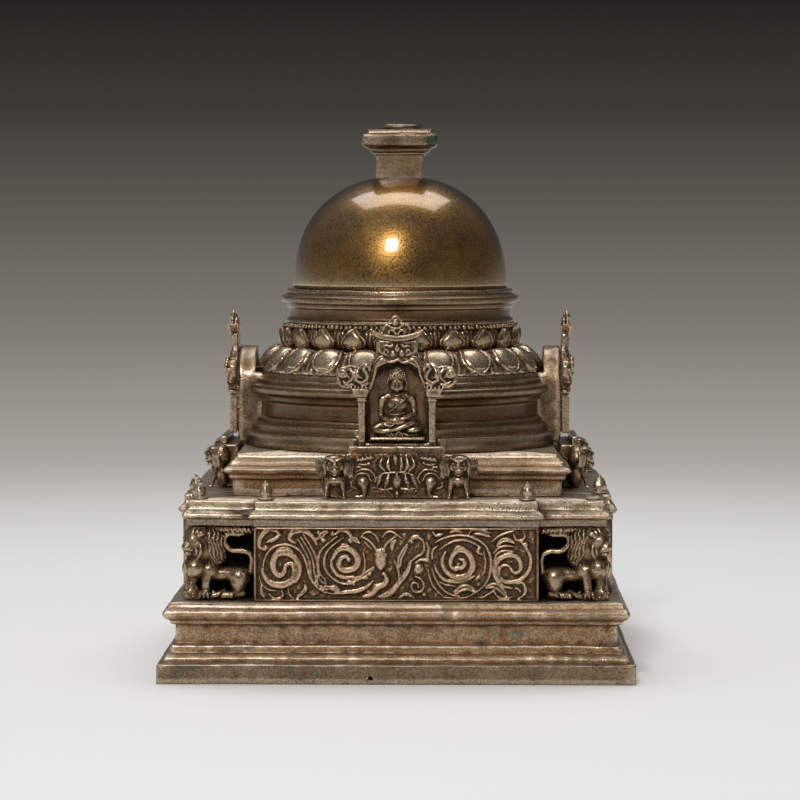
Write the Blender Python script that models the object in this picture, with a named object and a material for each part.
"""Small cast bronze stupa: a square moulded plinth, an openwork lion storey, a redented terrace with bud
finials, a throne storey with four niches, a moulded drum, two rows of lotus petals, a collar, a dome and
a square cap. Every size below is in millimetres; front is -Y, up is +Z, and the floor is z = 0."""

import math

import bmesh
import bpy
from mathutils import Matrix, Vector

MM = 0.001
SEAT_GAP = 0.3  # left between a piece and what it rests on or stands against
ROUND_SIDES = 40

# Plinth: the half width and height of each step of the moulding, from the floor up, then down inside
PLINTH_OUTSIDE = [
    (75.0, 0.0), (75.0, 5.8), (74.5, 6.3), (72.7, 6.4), (72.9, 7.6), (72.1, 8.9), (71.0, 9.2),
    (70.8, 11.7), (69.4, 12.1), (69.4, 18.0), (71.0, 18.5), (71.1, 19.6), (72.4, 20.2), (73.2, 21.4),
    (72.9, 22.7), (71.9, 23.4), (71.5, 24.7), (71.0, 25.2),
]
PLINTH_INSIDE = [
    (61.5, 25.2), (61.5, 21.5), (66.0, 17.5), (66.0, 12.0), (69.0, 8.6), (71.6, 4.5), (71.6, 0.0),
]
PLINTH_TOP = PLINTH_OUTSIDE[-1][1]
PIN_HOLE_X = -7.9
PIN_HOLE_Z = 1.9
PIN_HOLE_RADIUS = 0.8

# Lion storey: four frieze panels between four corner pairs of lions
PANEL_FRONT = 69.0
PANEL_BACK = 65.4
PANEL_HALF_WIDTH = 44.6
PANEL_RIM = 1.4
PANEL_RELIEF = 1.6
LION_CORNER = 67.4

# Scrolls raised on a frieze panel, across it and up. A whorl has its centre, its radius inside and outside,
# the angle where it starts and the angle it sweeps, in degrees counterclockwise, and half its width.
SCROLL_RISE = 1.35
SCROLL_SINK = 0.4  # how far a scroll runs on below the ground
WHORL_STEP = 34.0  # degrees
WHORLS = [
    (-34.8, 36.6, 2.6, 5.6, 250, -309, 0.9),
    (-34.8, 36.6, 1.2, 7.4, 30, -200, 1.1),
    (-15.6, 38.2, 1.2, 4.4, 20, 510, 0.95),
    (-16.2, 37.8, 6.7, 6.7, 120, 265, 0.6),
    (19.6, 37.4, 2.3, 5.5, 250, -471, 1.0),
    (20.2, 36.8, 9.5, 9.5, 125, -198, 0.6),
    (19.6, 37.4, 7.5, 6.9, 185, 130, 0.7),
    (36.0, 35.6, 2.2, 6.0, -34, 306, 0.95),
    (36.0, 35.6, 2.7, 7.9, 153, 266, 0.8),
]
STEMS = [
    (0.6, [(-41.2, 33.6), (-41.4, 38.2), (-38.0, 42.6), (-32.4, 42.7), (-28.6, 38.6), (-27.2, 33.2),
           (-24.6, 29.4), (-20.0, 27.4)]),
    (1.1, [(-29.4, 45.2), (-26.4, 39.6), (-25.2, 34.4), (-22.8, 30.6)]),
    (0.9, [(-31.8, 43.9), (-32.6, 46.2), (-28.6, 47.0), (-25.2, 43.8)]),
    (0.85, [(-36.8, 46.4), (-40.2, 47.0), (-42.4, 44.8), (-41.3, 42.0)]),
    (0.85, [(-19.0, 27.9), (-12.6, 28.6), (-7.4, 31.6)]),
    (1.2, [(-10.0, 27.0), (-6.2, 29.6), (-3.3, 31.8), (-3.9, 34.0)]),
    (1.7, [(-4.9, 41.0), (-4.9, 35.6)]),
    (0.6, [(-6.0, 41.4), (-7.6, 43.8), (-10.6, 45.8)]),
    (0.6, [(-3.7, 41.4), (-2.6, 44.0), (-0.2, 45.8)]),
    (0.9, [(1.2, 36.8), (1.7, 39.8), (3.4, 43.0)]),
    (1.0, [(-2.0, 28.2), (1.8, 32.6), (4.4, 38.0), (8.2, 40.6), (8.6, 44.4)]),
    (1.4, [(6.8, 36.6), (7.1, 34.4)]),
    (0.6, [(6.0, 33.0), (8.6, 31.0), (6.9, 28.4), (4.8, 29.8)]),
    (0.6, [(10.3, 35.2), (11.8, 31.2), (15.4, 27.4), (20.0, 26.9)]),
    (1.0, [(18.8, 28.2), (21.4, 29.5), (24.6, 28.8)]),
    (0.6, [(30.6, 44.4), (33.6, 46.2), (37.0, 46.6)]),
    (0.9, [(30.8, 40.0), (33.2, 42.1), (36.8, 42.2)]),
    (1.0, [(28.6, 29.6), (31.4, 29.6), (34.2, 27.4)]),
    (0.7, [(38.2, 30.6), (40.4, 29.4), (39.6, 27.2), (37.4, 26.6)]),
]

# Terrace: a plan with a projecting bay on each side
TERRACE_UNDERSIDE = 48.8
TERRACE_TOP = 56.8
TERRACE_OUTSIDE = [
    (66.1, TERRACE_UNDERSIDE), (66.1, 50.9), (66.7, 51.2), (67.1, 52.0), (67.0, 53.2), (66.0, 53.9),
    (65.5, 54.8), (65.4, TERRACE_TOP),
]
TERRACE_INSIDE = 62.4
TERRACE_CEILING = 53.8
BAY_INSET = 21.1  # from the corner block's half width to the bay's half length
BAY_STEP = 3.0

# Bud finials on the terrace
FINIAL_FOOT_RADIUS = 2.7
FINIAL_BUD_RADIUS = 1.9
FINIAL_HEIGHT = 5.9
FINIAL_ALONG = 41.1
FINIAL_OUT = 65.0
FINIAL_CORNER = 62.1
LOST_FINIAL = "corner_front_right"

# Throne storey
TIER_FOOT = TERRACE_TOP + SEAT_GAP
TIER_OUTSIDE = [
    (52.4, TIER_FOOT), (52.4, 62.4), (53.4, 62.8), (53.5, 63.9), (55.0, 64.8), (55.2, 65.7), (54.4, 66.3),
    (53.4, 66.7), (53.1, 68.0), (52.2, 68.4), (51.5, 69.2), (51.2, 70.3),
]
TIER_TOP = TIER_OUTSIDE[-1][1]
TIER_INSIDE = 48.8
TIER_CEILING = 67.3
THRONE_FRONT = 60.0
THRONE_HALF_WIDTH = 19.6
THRONE_TOP = 70.9
THRONE_LION_X = 20.2
SILL_HALF_WIDTH = 15.6
SILL_FRONT = 59.0
SILL_BACK = 57.2
SILL_TOP = 73.4

# Niches
HOUSING_BACK = 45.0
VAULT_BACK = 47.6  # above the drum, where the housing stands free
HOUSING_FRONT = 53.4
HOUSING_HALF_WIDTH = 12.35
HOUSING_FOOT = THRONE_TOP + SEAT_GAP
HOUSING_TOP = 102.8
RECESS_HALF_WIDTH = 10.2
RECESS_BACK = 49.2
RECESS_FLOOR = 74.2
RECESS_TOP = 99.8
FACADE_BACK = HOUSING_FRONT + SEAT_GAP
FACADE_FRONT = 56.9
FACADE_FOOT = RECESS_FLOOR

# Drum and what stands on it: radius and height
DRUM_FOOT = TIER_TOP + SEAT_GAP
DRUM_OUTSIDE = [
    (52.5, DRUM_FOOT), (52.7, 75.1), (50.4, 75.5), (50.3, 78.0), (48.6, 78.3), (48.5, 79.9), (47.1, 80.5),
    (46.9, 84.9), (47.9, 85.6), (48.6, 87.2), (50.3, 88.0), (50.7, 89.2), (50.3, 90.6), (48.4, 91.0),
    (48.4, 92.5), (47.1, 92.9), (47.0, 94.4),
]
DRUM_TOP = DRUM_OUTSIDE[-1][1]
DRUM_INSIDE = 43.0
DRUM_CEILING = 91.4
PETALS = 20
PETAL_SIDES = PETALS * 4
LOWER_LOTUS = [(46.5, 94.7), (46.6, 95.8), (45.2, 98.6), (42.9, 101.1), (40.6, 102.6)]
UPPER_LOTUS = [(39.0, 102.9), (40.7, 105.0), (40.8, 108.2), (38.8, 110.0)]
LOTUS_INSIDE = 35.0
COLLAR_OUTSIDE = [
    (38.0, 110.3), (38.0, 111.8), (36.9, 112.5), (36.8, 115.5), (37.8, 116.1), (37.8, 117.1), (39.5, 117.6),
    (39.6, 119.6), (37.8, 120.2), (37.6, 121.9),
]
COLLAR_INSIDE = 32.0
DOME_FOOT = COLLAR_OUTSIDE[-1][1] + SEAT_GAP
DOME_RADIUS = 35.8
DOME_HEIGHT = 37.0
DOME_WALL = 2.8
DOME_FULLNESS = 2.25  # exponent of the dome's superellipse: 2 is a plain hemisphere
STEM_HALF_WIDTH = 7.95
STEM_FOOT = 158.6
STEM_TOP = 165.9
CAP_OUTSIDE = [
    (8.6, 166.2), (8.7, 166.9), (9.8, 167.3), (10.2, 168.3), (11.7, 169.0), (12.4, 169.6), (12.4, 172.6),
    (11.9, 173.1), (10.9, 173.3), (10.8, 174.7),
]
CAP_DISC = [(7.5, 174.7), (7.4, 175.8), (6.6, 176.5)]

SIDES = ["front", "right", "back", "left"]
CORNERS = ["front_right", "back_right", "back_left", "front_left"]


def clear_scene():
    for obj in list(bpy.data.objects):
        bpy.data.objects.remove(obj)


def bronze(name, colour, roughness):
    """A Principled metal of one colour."""
    material = bpy.data.materials.new(name)
    material.use_nodes = True
    shader = material.node_tree.nodes["Principled BSDF"]
    shader.inputs["Base Color"].default_value = (*colour, 1.0)
    shader.inputs["Metallic"].default_value = 1.0
    shader.inputs["Roughness"].default_value = roughness
    return material


def add_object(name, mesh, material, turn=0.0):
    """Links one named object, turned about the stupa's axis by a number of degrees."""
    obj = bpy.data.objects.new(name, mesh)
    bpy.context.scene.collection.objects.link(obj)
    obj.rotation_euler.z = math.radians(turn)
    if not mesh.materials:
        mesh.materials.append(material)
    return obj


def mesh_from(bm, name):
    bmesh.ops.recalc_face_normals(bm, faces=bm.faces)
    mesh = bpy.data.meshes.new(name)
    bm.to_mesh(mesh)
    bm.free()
    return mesh


def square_plan(half):
    return [(-half, -half), (half, -half), (half, half), (-half, half)]


def bay_plan(half):
    """A square whose four sides each carry a projecting bay: five corners to a side."""
    bay = half - BAY_INSET
    out = half + BAY_STEP
    side = [(-half, -half), (-bay, -half), (-bay, -out), (bay, -out), (bay, -half)]
    turns = [(1, 0, 0, 1), (0, -1, 1, 0), (-1, 0, 0, -1), (0, 1, -1, 0)]
    return [(a * x + b * y, c * x + d * y) for a, b, c, d in turns for x, y in side]


def round_plan(radius, sides=ROUND_SIDES):
    angles = [2 * math.pi * (k + 0.5) / sides for k in range(sides)]
    return [(radius * math.cos(a), radius * math.sin(a)) for a in angles]


def petal_plan(radius, swell, offset):
    """A ring whose radius swells at each petal: swell is how deep the grooves between petals are."""
    points = []
    for k in range(PETAL_SIDES):
        angle = 2 * math.pi * k / PETAL_SIDES
        groove = 1 - abs(math.cos(PETALS * (angle - offset) / 2)) ** 0.6
        r = radius - swell * groove
        points.append((r * math.cos(angle), r * math.sin(angle)))
    return points


def skin_rings(rings, closed_loop):
    """Joins rings of points, given as (plan, height), with faces. A closed loop has no caps."""
    bm = bmesh.new()
    levels = [[bm.verts.new((x * MM, y * MM, z * MM)) for x, y in plan] for plan, z in rings]
    pairs = list(zip(levels, levels[1:]))
    if closed_loop:
        pairs.append((levels[-1], levels[0]))
    for low, high in pairs:
        count = len(low)
        for k in range(count):
            after = (k + 1) % count
            bm.faces.new((low[k], low[after], high[after], high[k]))
    if not closed_loop:
        bm.faces.new(list(reversed(levels[0])))
        bm.faces.new(levels[-1])
    return bm


def moulded_ring(plan, outside, inside):
    """A hollow ring: the outside profile from the bottom up, then the inside profile down."""
    return skin_rings([(plan(r), z) for r, z in outside + inside], closed_loop=True)


def moulded_tray(plan, outside, inside, ceiling):
    """An upturned tray: a cavity open below, its ceiling at one height, and the moulded outside."""
    bottom = outside[0][1]
    rings = [(plan(inside), ceiling), (plan(inside), bottom)]
    rings += [(plan(r), z) for r, z in outside]
    return skin_rings(rings, closed_loop=False)


def extrude_outline(outline, low, high):
    """A plate: an outline in X and Z, extruded from y = -low back to y = -high."""
    bm = bmesh.new()
    near = [bm.verts.new((x * MM, -high * MM, z * MM)) for x, z in outline]
    far = [bm.verts.new((x * MM, -low * MM, z * MM)) for x, z in outline]
    bm.faces.new(near)
    bm.faces.new(list(reversed(far)))
    count = len(outline)
    for k in range(count):
        after = (k + 1) % count
        bm.faces.new((near[k], far[k], far[after], near[after]))
    return bm


def box(low, high):
    """A box between two corners given in millimetres as (x, distance in front of the axis, z)."""
    outline = [(low[0], low[2]), (high[0], low[2]), (high[0], high[2]), (low[0], high[2])]
    return extrude_outline(outline, low[1], high[1])


def guide(bm, name):
    """An object used only to cut or to join: it is wire and isn't rendered."""
    obj = bpy.data.objects.new(name, mesh_from(bm, name))
    bpy.context.scene.collection.objects.link(obj)
    obj.display_type = "WIRE"
    obj.hide_render = True
    return obj


def boolean(obj, other, operation):
    modifier = obj.modifiers.new(other.name, "BOOLEAN")
    modifier.operation = operation
    modifier.object = other


def settled(obj):
    """The object's mesh with its modifiers applied; the object itself is removed."""
    bpy.context.view_layer.update()
    graph = bpy.context.evaluated_depsgraph_get()
    mesh = bpy.data.meshes.new_from_object(obj.evaluated_get(graph))
    bpy.data.objects.remove(obj)
    return mesh


def ball(bm, centre, radii, tilt=0.0):
    """An ellipsoid at (x, out, z), where out is the distance in front of the axis; tilt turns it about Y."""
    x, out, z = centre
    place = Matrix.Translation(Vector((x, -out, z)) * MM) @ Matrix.Rotation(math.radians(tilt), 4, "Y")
    size = Matrix.Diagonal((*[r * MM for r in radii], 1.0))
    bmesh.ops.create_icosphere(bm, subdivisions=2, radius=1.0, matrix=place @ size)


def limb(bm, points, radii):
    """A chain of tapered round bars with a ball at each joint: points are (x, out, z)."""
    centres = [Vector((x, -out, z)) * MM for x, out, z in points]
    for centre, radius in zip(centres, radii):
        matrix = Matrix.Translation(centre)
        bmesh.ops.create_icosphere(bm, subdivisions=2, radius=radius * MM, matrix=matrix)
    for start, end, r0, r1 in zip(centres, centres[1:], radii, radii[1:]):
        along = end - start
        turn = along.to_track_quat("Z", "Y").to_matrix().to_4x4()
        matrix = Matrix.Translation((start + end) / 2) @ turn
        bmesh.ops.create_cone(
            bm, cap_ends=True, segments=10, radius1=r0 * MM, radius2=r1 * MM, depth=along.length, matrix=matrix
        )


def fused(bm, name, grain, keep):
    """Fuses overlapping balls and limbs into one skin of a given grain, then thins it to a share of its faces."""
    obj = guide(bm, name)
    remesh = obj.modifiers.new("fuse", "REMESH")
    remesh.mode = "VOXEL"
    remesh.voxel_size = grain * MM
    thin = obj.modifiers.new("thin", "DECIMATE")
    thin.ratio = keep
    return settled(obj)


def arch_outline(half, foot, top, steps):
    """A round-headed opening or vault."""
    spring = top - half
    angles = [math.pi * k / steps for k in range(steps + 1)]
    head = [(half * math.cos(a), spring + half * math.sin(a)) for a in angles]
    return [(-half, foot), (half, foot)] + head


def make_plinth(material):
    ring = moulded_ring(square_plan, PLINTH_OUTSIDE, PLINTH_INSIDE)
    plinth = add_object("plinth", mesh_from(ring, "plinth"), material)
    hole = bmesh.new()
    across = Matrix.Rotation(math.radians(90), 4, "X")
    place = Matrix.Translation(Vector((PIN_HOLE_X, -PLINTH_OUTSIDE[0][0], PIN_HOLE_Z)) * MM)
    radius = PIN_HOLE_RADIUS * MM
    bmesh.ops.create_cone(
        hole, cap_ends=True, segments=12, radius1=radius, radius2=radius, depth=12 * MM, matrix=place @ across
    )
    boolean(plinth, guide(hole, "pin_hole"), "DIFFERENCE")


def whorl_line(x, z, inside, outside, start, sweep):
    """A spiral whose radius grows evenly with the angle."""
    steps = round(abs(sweep) / WHORL_STEP)
    line = []
    for k in range(steps + 1):
        angle = math.radians(start + sweep * k / steps)
        reach = inside + (outside - inside) * k / steps
        line.append((x + reach * math.cos(angle), z + reach * math.sin(angle)))
    return line


def ridge(line, half_width, ground):
    """A raised band along a line of (x, z): a foot on each side, sunk below the ground, and a crest
    between them. It narrows to its two ends."""
    bm = bmesh.new()
    rows = []
    last = len(line) - 1
    for k, (x, z) in enumerate(line):
        before, after = line[max(k - 1, 0)], line[min(k + 1, last)]
        along = Vector((after[0] - before[0], after[1] - before[1])).normalized()
        width = half_width * (0.45 if k in (0, last) else 1.0)
        feet = [(x - along.y * width, z + along.x * width), (x + along.y * width, z - along.x * width)]
        row = [bm.verts.new((a * MM, -(ground - SCROLL_SINK) * MM, b * MM)) for a, b in feet]
        row.append(bm.verts.new((x * MM, -(ground + SCROLL_RISE) * MM, z * MM)))
        rows.append(row)
    bm.faces.new(rows[0])
    bm.faces.new(rows[-1][::-1])
    for near, far in zip(rows, rows[1:]):
        for a, b in ((0, 1), (1, 2), (2, 0)):
            bm.faces.new((near[a], far[a], far[b]))
            bm.faces.new((near[a], far[b], near[b]))
    return bm


def make_panels(material):
    """Frieze panels: a plate with a raised rim round a lower ground, and scrolls raised on the ground."""
    low, high = PLINTH_TOP + SEAT_GAP, TERRACE_UNDERSIDE - SEAT_GAP
    plate = guide(
        box((-PANEL_HALF_WIDTH, PANEL_BACK, low), (PANEL_HALF_WIDTH, PANEL_FRONT, high)), "panel_plate"
    )
    inner = PANEL_HALF_WIDTH - PANEL_RIM
    ground = PANEL_FRONT - PANEL_RELIEF
    cutter = guide(
        box((-inner, ground, low + PANEL_RIM / 2), (inner, PANEL_FRONT + 1, high - PANEL_RIM)), "panel_ground"
    )
    boolean(plate, cutter, "DIFFERENCE")
    lines = [(half_width, whorl_line(*place)) for *place, half_width in WHORLS] + STEMS
    for number, (half_width, line) in enumerate(lines):
        boolean(plate, guide(ridge(line, half_width, ground), "scroll_%02d" % number), "UNION")
    mesh = settled(plate)
    for k, side in enumerate(SIDES):
        add_object("frieze_panel_" + side, mesh, material, 90 * k)


def lion_half(bm, swap):
    """One lion of a corner pair, seen in profile along a face: u runs from the corner along the face, out
    is the distance in front of the axis. swap puts it on the other face of the same corner."""

    def place(u, out, z):
        x = LION_CORNER - u
        return (x, out, z) if not swap else (out, x, z)

    def blob(u, out, z, ru, ro, rz):
        radii = (ru, ro, rz) if not swap else (ro, ru, rz)
        ball(bm, place(u, out, z), radii)

    def bar(points, radii):
        limb(bm, [place(*p) for p in points], radii)

    blob(8.5, 62.4, 42.0, 5.2, 3.2, 6.2)  # mane
    blob(10.2, 63.0, 38.5, 3.4, 2.9, 3.6)  # mane over the shoulder
    blob(11.5, 63.4, 33.9, 6.6, 2.7, 2.7)  # barrel
    blob(17.0, 63.6, 32.7, 4.1, 3.0, 3.5)  # haunch
    bar([(8.0, 64.2, 34.5), (7.4, 64.8, 29.5), (7.2, 65.0, 27.2)], [2.2, 1.5, 1.6])  # foreleg
    blob(7.0, 65.2, 26.8, 1.9, 2.2, 1.2)  # forepaw
    bar([(17.6, 63.8, 30.8), (18.6, 63.8, 28.4), (16.6, 64.2, 26.9)], [2.4, 1.6, 1.5])  # hind leg
    blob(15.6, 64.2, 26.8, 3.2, 2.2, 1.2)  # hind paw
    tail = [(20.4, 63.6, 34.6), (21.4, 63.6, 38.3), (18.6, 63.6, 40.3), (15.2, 63.6, 40.6), (13.6, 63.6, 43.2),
            (14.6, 63.6, 45.8), (18.4, 63.6, 46.6)]
    bar(tail, [1.0, 0.95, 0.9, 0.95, 1.0, 1.3, 1.6])


def make_corner_lions(material):
    """A pair of lions at each corner that share one head and one breast on the diagonal."""
    bm = bmesh.new()
    lion_half(bm, False)
    lion_half(bm, True)
    diagonal = LION_CORNER - 4.0
    ball(bm, (diagonal, diagonal, 42.4), (4.0, 4.0, 5.4))  # head
    ball(bm, (diagonal + 1.7, diagonal + 1.7, 40.4), (2.4, 2.4, 2.2))  # muzzle
    ball(bm, (diagonal, diagonal, 35.0), (4.1, 4.1, 3.9))  # breast
    limb(bm, [(diagonal - 1, diagonal - 1, 34), (diagonal - 1.5, diagonal - 1.5, 27.2)], [2.6, 1.9])
    limb(bm, [(62.4, 62.4, 46.4), (62.4, 62.4, 48.0)], [3.2, 1.0])  # crown of the head under the terrace
    mesh = fused(bm, "lions", grain=0.75, keep=0.075)
    trim_between(mesh, PLINTH_TOP + SEAT_GAP, TERRACE_UNDERSIDE - SEAT_GAP)
    for k, corner in enumerate(CORNERS):
        # The pair is modelled at +X, -Y, which is the front right corner
        add_object("corner_lions_" + corner, mesh, material, 90 * k)


def trim_between(mesh, low, high):
    """Cuts a closed mesh off flat at two heights and closes the cuts."""
    bm = bmesh.new()
    bm.from_mesh(mesh)
    for height, up in ((low, -1.0), (high, 1.0)):
        geometry = list(bm.verts) + list(bm.edges) + list(bm.faces)
        cut = bmesh.ops.bisect_plane(
            bm, geom=geometry, dist=1e-7, plane_co=(0, 0, height * MM), plane_no=(0, 0, up), clear_outer=True
        )
        rim = [e for e in cut["geom_cut"] if isinstance(e, bmesh.types.BMEdge) and e.is_boundary]
        if rim:
            bmesh.ops.holes_fill(bm, edges=rim, sides=0)
    bmesh.ops.triangulate(bm, faces=bm.faces)
    bmesh.ops.recalc_face_normals(bm, faces=bm.faces)
    bm.to_mesh(mesh)
    bm.free()


def make_terrace(material):
    tray = moulded_tray(bay_plan, TERRACE_OUTSIDE, TERRACE_INSIDE, TERRACE_CEILING)
    add_object("terrace", mesh_from(tray, "terrace"), material)


def make_finials(material):
    """Bud finials: two on each bay and one on each corner, of which one has broken off its foot."""
    foot = TERRACE_TOP + SEAT_GAP
    whole = [(FINIAL_FOOT_RADIUS, foot), (FINIAL_FOOT_RADIUS, foot + 0.6), (1.6, foot + 0.9),
             (FINIAL_BUD_RADIUS, foot + 2.0), (1.5, foot + 3.7), (0.4, foot + FINIAL_HEIGHT)]
    bud = mesh_from(skin_rings([(round_plan(r, 10), z) for r, z in whole], False), "finial")
    stump = mesh_from(skin_rings([(round_plan(r, 10), z) for r, z in whole[:3]], False), "finial_stump")
    spots = {}
    for k, side in enumerate(SIDES):
        turn = Matrix.Rotation(math.radians(90 * k), 4, "Z")
        spots[side + "_left"] = turn @ Vector((-FINIAL_ALONG, -FINIAL_OUT, 0))
        spots[side + "_right"] = turn @ Vector((FINIAL_ALONG, -FINIAL_OUT, 0))
        spots["corner_" + CORNERS[k]] = turn @ Vector((FINIAL_CORNER, -FINIAL_CORNER, 0))
    for name, spot in spots.items():
        mesh = stump if name == LOST_FINIAL else bud
        add_object("finial_" + name, mesh, material).location = spot * MM


def make_tier(material):
    tray = moulded_tray(square_plan, TIER_OUTSIDE, TIER_INSIDE, TIER_CEILING)
    add_object("throne_tier", mesh_from(tray, "throne_tier"), material)


def throne_lion(side):
    """A lion seen from the front at one end of a throne: head, mane, breast, body and two straight legs."""
    bm = bmesh.new()
    x = side * THRONE_LION_X
    ball(bm, (x, 60.4, 67.2), (3.7, 2.9, 3.4))
    ball(bm, (x, 62.4, 66.2), (2.0, 1.5, 1.9))
    ball(bm, (x, 59.8, 63.4), (4.2, 2.9, 4.6))
    for offset in (-2.3, 2.3):
        limb(bm, [(x + offset, 60.6, 63.0), (x + offset * 1.1, 61.3, 59.8), (x + offset * 1.1, 61.5, 57.9)],
             [1.5, 1.1, 1.2])
    limb(bm, [(x + side * 0.6, 58.8, 65.0), (x + side * 0.8, 58.6, 59.0)], [2.6, 2.2])
    mesh = fused(bm, "throne_lion", grain=0.6, keep=0.05)
    trim_between(mesh, TIER_FOOT, THRONE_TOP - 0.2)
    bm = bmesh.new()
    bm.from_mesh(mesh)
    return guide(bm, "throne_lion")


def make_thrones(material):
    """A block in front of the throne storey, its back cut to the storey's moulding, with a lion at each
    end, an opened lotus between them and a sill on top."""
    back = [(r + SEAT_GAP, z) for r, z in TIER_OUTSIDE]
    back[-1] = (back[-1][0], THRONE_TOP)
    outline = [(THRONE_FRONT, TIER_FOOT), (THRONE_FRONT, THRONE_TOP)] + back[::-1]
    bm = bmesh.new()
    ends = []
    for x in (-THRONE_HALF_WIDTH, THRONE_HALF_WIDTH):
        ends.append([bm.verts.new((x * MM, -out * MM, z * MM)) for out, z in outline])
    bm.faces.new(ends[0])
    bm.faces.new(ends[1][::-1])
    for k in range(len(outline)):
        after = (k + 1) % len(outline)
        bm.faces.new((ends[0][k], ends[1][k], ends[1][after], ends[0][after]))
    throne = guide(bm, "throne_block")
    sill = guide(
        box((-SILL_HALF_WIDTH, SILL_BACK, THRONE_TOP - 1), (SILL_HALF_WIDTH, SILL_FRONT, SILL_TOP)), "sill"
    )
    lotus = bmesh.new()
    for angle in (-56, -28, 0, 28, 56):
        lean = math.radians(angle)
        ball(lotus, (4.6 * math.sin(lean), THRONE_FRONT, 65.6 - 3.2 * math.cos(lean)), (1.1, 1.1, 2.4),
             angle)
        ball(lotus, (2.6 * math.sin(lean), THRONE_FRONT, 67.0 + 1.4 * math.cos(lean)), (0.9, 1.0, 1.7),
             -angle / 2)
    flower_mesh = fused(lotus, "lotus_flower", grain=0.55, keep=0.05)
    bm = bmesh.new()
    bm.from_mesh(flower_mesh)
    flower = guide(bm, "lotus_flower")
    for other in (throne_lion(-1), throne_lion(1), flower, sill):
        boolean(throne, other, "UNION")
    mesh = settled(throne)
    for k, side in enumerate(SIDES):
        add_object("throne_" + side, mesh, material, 90 * k)


def make_housings(material):
    """Round-vaulted boxes set against the drum, each with an arched recess open to the front."""
    vault = arch_outline(HOUSING_HALF_WIDTH, HOUSING_FOOT, HOUSING_TOP, 12)
    recess = arch_outline(RECESS_HALF_WIDTH, RECESS_FLOOR, RECESS_TOP, 10)
    housing = guide(extrude_outline(vault, HOUSING_BACK, HOUSING_FRONT), "housing_block")
    boolean(housing, guide(extrude_outline(recess, RECESS_BACK, HOUSING_FRONT + 2), "recess"), "DIFFERENCE")
    behind = box((-20, HOUSING_BACK - 2, DRUM_TOP), (20, VAULT_BACK, HOUSING_TOP + 2))
    boolean(housing, guide(behind, "behind_vault"), "DIFFERENCE")
    mesh = settled(housing)
    for k, side in enumerate(SIDES):
        add_object("niche_housing_" + side, mesh, material, 90 * k)


def facade_outline():
    """Half of the niche's front: column, capital, scroll, crest and arch, mirrored to the other side."""
    outer = [
        (10.2, FACADE_FOOT), (12.35, FACADE_FOOT), (12.35, 87.5), (13.2, 87.8), (13.2, 88.9), (14.4, 89.2),
        (14.4, 90.8), (17.6, 91.4), (19.3, 93.4), (19.5, 96.4), (18.0, 98.6), (14.6, 99.3), (12.2, 98.6),
        (9.4, 100.6), (7.0, 103.6), (6.9, 106.9), (8.3, 110.3), (4.4, 108.7), (2.8, 110.6), (1.8, 111.2),
        (1.85, 113.4), (0.9, 114.5),
    ]
    inner = [(0.0, 100.2), (2.2, 99.3), (4.8, 99.4), (6.9, 97.6), (7.8, 94.4), (8.4, 91.0), (9.4, 90.6),
             (9.4, 87.8), (10.2, 87.5)]
    left = [(-x, z) for x, z in reversed(outer)]
    left_inner = [(-x, z) for x, z in reversed(inner[1:])]
    return outer + left + left_inner + inner


def make_facades(material):
    """The niche front: a plate with a swelling over each column, a palmette, a crescent and a ball on top."""
    facade = guide(extrude_outline(facade_outline(), FACADE_BACK, FACADE_FRONT), "facade_plate")
    carved = bmesh.new()
    for side in (-1, 1):
        ball(carved, (side * 16.0, 56.0, 95.0), (2.9, 2.0, 3.6), side * 20)
        ball(carved, (side * 11.9, 56.0, 95.6), (2.2, 1.7, 3.0), -side * 15)
    ball(carved, (0, 56.2, 103.6), (4.6, 1.3, 2.6))
    limb(carved, [(-7.2, 56.0, 109.4), (-3.6, 56.2, 107.2), (3.6, 56.2, 107.2), (7.2, 56.0, 109.4)],
         [0.7, 1.1, 1.1, 0.7])
    ball(carved, (0, 56.0, 109.8), (2.6, 1.2, 1.4))
    ball(carved, (0, 55.6, 112.6), (1.8, 1.8, 1.8))
    mesh = fused(carved, "facade_carving", grain=0.6, keep=0.06)
    bm = bmesh.new()
    bm.from_mesh(mesh)
    bmesh.ops.bisect_plane(bm, geom=list(bm.verts) + list(bm.edges) + list(bm.faces), dist=1e-7,
                           plane_co=(0, -(FACADE_BACK + 0.5) * MM, 0), plane_no=(0, 1, 0), clear_outer=True)
    bmesh.ops.holes_fill(bm, edges=[e for e in bm.edges if e.is_boundary], sides=0)
    boolean(facade, guide(bm, "facade_carving"), "UNION")
    mesh = settled(facade)
    for k, side in enumerate(SIDES):
        add_object("niche_facade_" + side, mesh, material, 90 * k)


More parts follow.
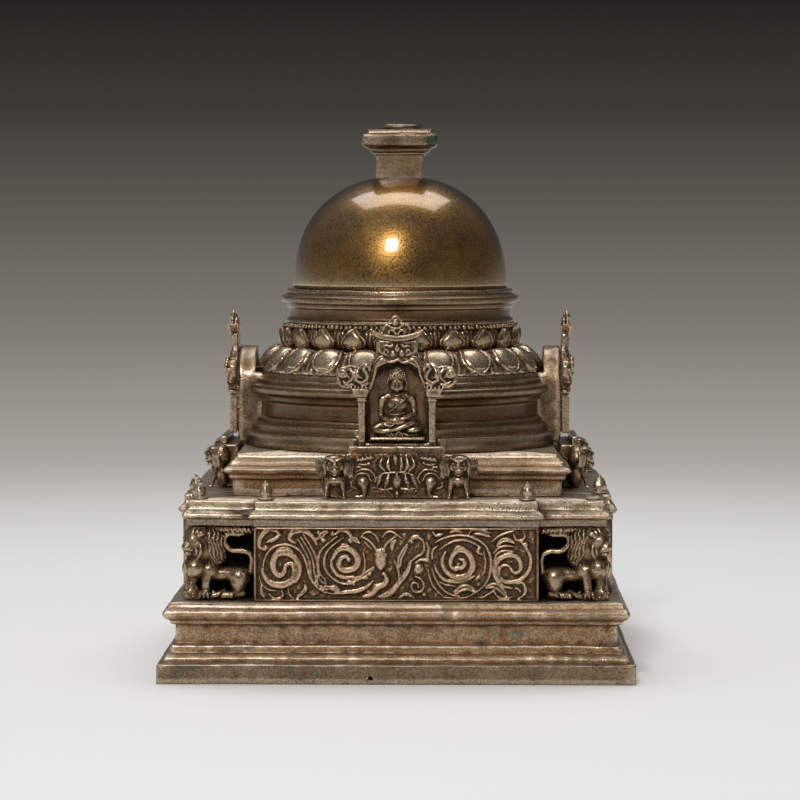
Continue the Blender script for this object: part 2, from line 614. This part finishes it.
def make_figures(material):
    """A seated figure with crossed legs and its hands in its lap, on a thin seat."""
    bm = bmesh.new()
    seat_z = RECESS_FLOOR + SEAT_GAP
    for x in (-6.0, 0.0, 6.0):
        ball(bm, (x, 52.6, seat_z + 0.7), (3.2, 2.9, 0.9))
    for side in (-1, 1):
        limb(bm, [(side * 2.0, 51.6, 78.0), (side * 6.2, 52.4, 77.5), (side * 0.8, 54.2, 76.7)],
             [2.0, 1.9, 1.3])
        limb(bm, [(side * 4.7, 51.7, 87.2), (side * 5.8, 51.8, 82.4), (side * 0.9, 54.0, 79.9)],
             [1.5, 1.2, 1.0])
    ball(bm, (0, 51.9, 80.6), (3.7, 2.1, 4.4))  # waist
    ball(bm, (0, 51.8, 85.4), (4.7, 2.2, 3.6))  # chest
    limb(bm, [(0, 51.8, 88.0), (0, 52.0, 90.4)], [1.7, 1.5])  # neck
    ball(bm, (0, 52.2, 92.4), (2.6, 2.3, 3.1))  # head
    ball(bm, (0, 51.9, 94.7), (2.7, 2.2, 1.7))  # hair
    ball(bm, (0, 51.8, 96.3), (1.2, 1.2, 1.2))  # topknot
    for side in (-1, 1):
        limb(bm, [(side * 3.1, 51.8, 93.0), (side * 3.3, 51.8, 90.4)], [0.7, 0.7])  # ears
    mesh = fused(bm, "figure", grain=0.55, keep=0.05)
    trim_between(mesh, seat_z, RECESS_TOP)
    for k, side in enumerate(SIDES):
        add_object("seated_figure_" + side, mesh, material, 90 * k)


def make_drum(material):
    """A moulded drum with a flat seat cut on each of its four sides for a niche housing."""
    tray = moulded_tray(round_plan, DRUM_OUTSIDE, DRUM_INSIDE, DRUM_CEILING)
    drum = add_object("drum", mesh_from(tray, "drum"), material)
    half = HOUSING_HALF_WIDTH + SEAT_GAP
    for k in range(4):
        seat = guide(
            box((-half, HOUSING_BACK - SEAT_GAP, TIER_TOP - 2), (half, 60, DRUM_TOP + 2)), "niche_seat"
        )
        seat.rotation_euler.z = math.radians(90 * k)
        boolean(drum, seat, "DIFFERENCE")


def make_lotus(material):
    """Two rings of petals: the lower ones hang, the upper ones stand over the gaps between them."""
    rings = [("lotus_lower", LOWER_LOTUS, 1.5, 0.0), ("lotus_upper", UPPER_LOTUS, 1.3, math.pi / PETALS)]
    for name, profile, groove, offset in rings:
        outside = [(petal_plan(r, groove, offset), z) for r, z in profile]
        inside = [(petal_plan(LOTUS_INSIDE, 0.0, 0.0), z) for z in (profile[-1][1], profile[0][1])]
        add_object(name, mesh_from(skin_rings(outside + inside, True), name), material)


def make_collar(material):
    top, foot = COLLAR_OUTSIDE[-1][1], COLLAR_OUTSIDE[0][1]
    ring = moulded_ring(round_plan, COLLAR_OUTSIDE, [(COLLAR_INSIDE, top), (COLLAR_INSIDE, foot)])
    add_object("dome_collar", mesh_from(ring, "dome_collar"), material)


def dome_profile(radius, height, foot, steps):
    """A superellipse from the foot up to near its apex."""
    angles = [math.radians(86) * k / steps for k in range(steps + 1)]
    power = 2 / DOME_FULLNESS
    return [(radius * math.cos(a) ** power, foot + height * math.sin(a) ** power) for a in angles]


def make_dome(material):
    inner = dome_profile(DOME_RADIUS - DOME_WALL, DOME_HEIGHT - DOME_WALL, DOME_FOOT, 5)
    outer = dome_profile(DOME_RADIUS, DOME_HEIGHT, DOME_FOOT, 10)
    rings = [(round_plan(r), z) for r, z in inner[::-1] + outer]
    dome = add_object("dome", mesh_from(skin_rings(rings, False), "dome"), material)
    dome.data.shade_smooth()
    seat = STEM_HALF_WIDTH + SEAT_GAP
    top = DOME_FOOT + DOME_HEIGHT
    hollow = guide(box((-seat, -seat, STEM_FOOT - 0.9 - SEAT_GAP), (seat, seat, top + 2)), "stem_seat")
    boolean(dome, hollow, "DIFFERENCE")


def make_cap(material):
    stem = [(square_plan(STEM_HALF_WIDTH), STEM_FOOT - 0.9), (square_plan(STEM_HALF_WIDTH), STEM_TOP)]
    add_object("harmika_stem", mesh_from(skin_rings(stem, False), "harmika_stem"), material)
    cap = [(square_plan(r), z) for r, z in CAP_OUTSIDE]
    add_object("harmika_cap", mesh_from(skin_rings(cap, False), "harmika_cap"), material)
    foot = CAP_OUTSIDE[-1][1] + SEAT_GAP - CAP_DISC[0][1]
    disc = [(round_plan(r, 32), z + (foot if k == 0 else 0.0)) for k, (r, z) in enumerate(CAP_DISC)]
    add_object("spire_seat", mesh_from(skin_rings(disc, False), "spire_seat"), material)


def main():
    clear_scene()
    storey = bronze("cast_bronze", (0.32, 0.235, 0.16), 0.42)
    figure = bronze("figure_bronze", (0.29, 0.205, 0.14), 0.36)
    smooth = bronze("dome_bronze", (0.25, 0.175, 0.09), 0.28)
    make_plinth(storey)
    make_panels(storey)
    make_corner_lions(storey)
    make_terrace(storey)
    make_finials(storey)
    make_tier(storey)
    make_thrones(storey)
    make_housings(storey)
    make_facades(storey)
    make_figures(figure)
    make_drum(smooth)
    make_lotus(smooth)
    make_collar(smooth)
    make_dome(smooth)
    make_cap(smooth)


main()
